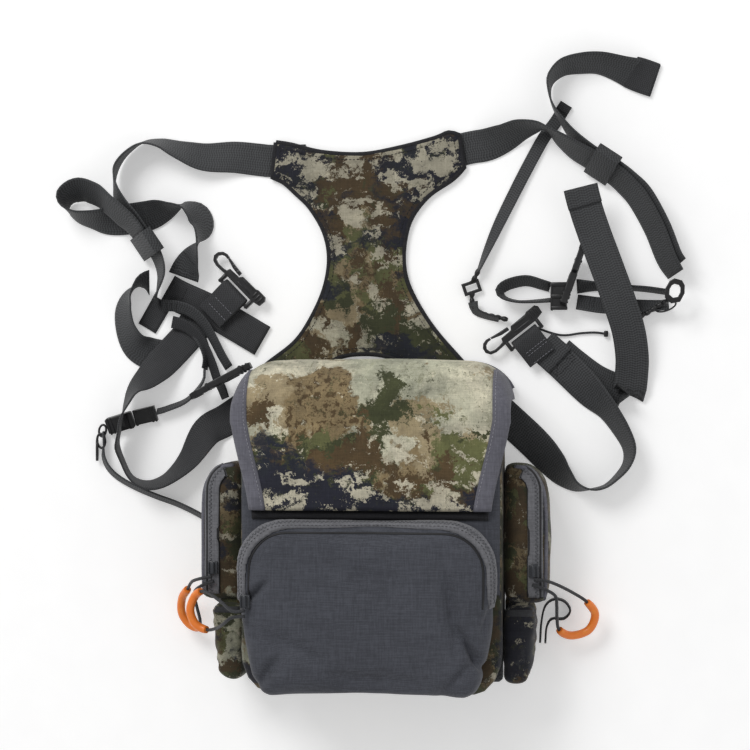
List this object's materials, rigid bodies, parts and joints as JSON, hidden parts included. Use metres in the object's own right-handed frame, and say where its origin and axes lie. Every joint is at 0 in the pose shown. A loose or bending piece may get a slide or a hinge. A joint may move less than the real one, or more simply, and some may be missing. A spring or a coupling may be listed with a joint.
{
  "type": "binocular harness pack",
  "caption": "Padded chest pouch for binoculars with a flip lid, zip pockets and pulls, on a shoulder harness of flat webbing with clips and adjusters, laid out flat.",
  "frame": {"origin": "centre of the pack's flat back face, which lies on the table", "axes": "+Y from the pack towards the yoke, +X to the right, +Z out of the pack's front"},
  "size_m": [0.4869, 0.4834, 0.1157],
  "materials": {
    "camo": "woven fabric printed with a leaf and twig camouflage",
    "pocket_grey": "fine woven nylon in slate grey",
    "binding_grey": "ribbed stretch fabric in grey",
    "lining": "dark spacer mesh",
    "webbing": "dark grey woven webbing",
    "zip_tape": "coated zip tape",
    "zip_slider": "black enamel",
    "buckle": "black moulded plastic",
    "orange": "smooth orange sleeve"
  },
  "bodies": {
    "pack": {"shoulder_strap_left": "webbing", "tail_left": "webbing", "adjust_loop_left": "webbing", "under_strap_left": "webbing", "cross_strap_left": "webbing", "lower_strap_left": "webbing", "hook_strap_left": "webbing", "hook_strap_left_under": "webbing", "thin_strap_left_upper": "webbing", "thin_strap_left_lower": "webbing", "shoulder_strap_right": "webbing", "tail_right": "webbing", "tether_right": "webbing", "tether_right_end": "webbing", "chest_strap_lower": "webbing", "chest_strap_loop": "webbing", "chest_strap_upper": "webbing", "wide_strap_right": "webbing", "lower_strap_right": "webbing", "accessory_loop_right": "webbing", "keeper_left": "webbing", "keeper_right": "webbing", "clip_tab_a": "webbing", "clip_tab_c": "webbing", "oval_adjuster_left": "buckle", "adjuster_right": "buckle", "tether_adjuster": "buckle", "mini_buckle_socket": "buckle", "mini_buckle_plug": "buckle", "clip_d_body": "buckle", "pouch_shell": "camo", "side_pocket_left": "camo", "side_pocket_right": "camo", "stretch_sleeve_left": "camo", "stretch_sleeve_right": "camo", "yoke_panel": "camo", "back_panel": "lining", "front_pocket": "pocket_grey", "front_zip": "zip_tape", "side_zip_left": "zip_tape", "side_zip_right": "zip_tape"},
    "lid": {"lid_panel": "camo", "lid_binding_left": "binding_grey", "lid_binding_right": "binding_grey"},
    "slider_front": {"front_zip_slider": "zip_slider"},
    "pull_front": {"pull_cord_front": "webbing", "pull_sleeve_front": "orange"},
    "slider_side_left": {"side_zip_slider_left": "zip_slider"},
    "pull_side_left": {"pull_cord_side_left": "webbing", "pull_sleeve_side_left": "orange"},
    "slider_side_right": {"side_zip_slider_right": "zip_slider"},
    "pull_side_right": {"pull_cord_side_right": "webbing", "pull_sleeve_side_right": "orange"},
    "clip_a": {"clip_a_body": "buckle"},
    "gate_a": {"clip_a_gate": "buckle"},
    "clip_b": {"clip_b_body": "buckle"},
    "gate_b": {"clip_b_gate": "buckle"},
    "clip_c": {"clip_c_body": "buckle"},
    "gate_c": {"clip_c_gate": "buckle"},
    "gate_d": {"clip_d_gate": "buckle"}
  },
  "joints": [
    {"name": "lid_hinge", "type": "hinge", "parent": "pack", "child": "lid", "pos_m": [0, 0.019, 0.0838], "axis": [1, 0, 0], "range_deg": [0, 90]},
    {"name": "zip_slide_front", "type": "slide", "parent": "pack", "child": "slider_front", "axis": [0, 1, 0], "range_m": [0, 0.012]},
    {"name": "pull_lift_front", "type": "hinge", "parent": "slider_front", "child": "pull_front", "pos_m": [-0.088, -0.0545, 0.114], "axis": [0, 1, 0], "range_deg": [0, 90]},
    {"name": "zip_slide_side_left", "type": "slide", "parent": "pack", "child": "slider_side_left", "axis": [0, 1, 0], "range_m": [0, 0.05]},
    {"name": "pull_lift_side_left", "type": "hinge", "parent": "slider_side_left", "child": "pull_side_left", "pos_m": [-0.12025, -0.03425, 0.067], "axis": [0, 1, 0], "range_deg": [0, 25]},
    {"name": "zip_slide_side_right", "type": "slide", "parent": "pack", "child": "slider_side_right", "axis": [0, 1, 0], "range_m": [0, 0.05]},
    {"name": "pull_lift_side_right", "type": "hinge", "parent": "slider_side_right", "child": "pull_side_right", "pos_m": [0.12025, -0.03425, 0.067], "axis": [0, -1, 0], "range_deg": [0, 90]},
    {"name": "clip_a_swing", "type": "hinge", "parent": "pack", "child": "clip_a", "pos_m": [-0.115, 0.183, 0.0086], "axis": [0.6947, -0.7193, 0], "range_deg": [0, 80]},
    {"name": "gate_a_spring", "type": "hinge", "parent": "clip_a", "child": "gate_a", "pos_m": [-0.11027, 0.19869, 0.0086], "axis": [0, 0, 1], "range_deg": [0, 12], "stiffness_Nm_per_rad": 0.06},
    {"name": "clip_b_swing", "type": "hinge", "parent": "pack", "child": "clip_b", "pos_m": [-0.119, 0.117, 0.0285], "axis": [0.8854, 0.4648, 0], "range_deg": [0, 35]},
    {"name": "gate_b_spring", "type": "hinge", "parent": "clip_b", "child": "gate_b", "pos_m": [-0.12608, 0.11328, 0.0142], "axis": [-0.4648, 0.8854, 0], "range_deg": [0, 12], "stiffness_Nm_per_rad": 0.06},
    {"name": "clip_c_swing", "type": "hinge", "parent": "pack", "child": "clip_c", "pos_m": [0.1135, 0.148, 0.0085], "axis": [0.788, 0.6157, 0], "range_deg": [0, 80]},
    {"name": "gate_c_spring", "type": "hinge", "parent": "clip_c", "child": "gate_c", "pos_m": [0.09839, 0.15434, 0.0085], "axis": [0, 0, 1], "range_deg": [0, 12], "stiffness_Nm_per_rad": 0.06},
    {"name": "gate_d_spring", "type": "hinge", "parent": "pack", "child": "gate_d", "pos_m": [0.1511, 0.20106, 0.0191], "axis": [-0.9455, 0.3256, 0], "range_deg": [0, 12], "stiffness_Nm_per_rad": 0.06}
  ]
}
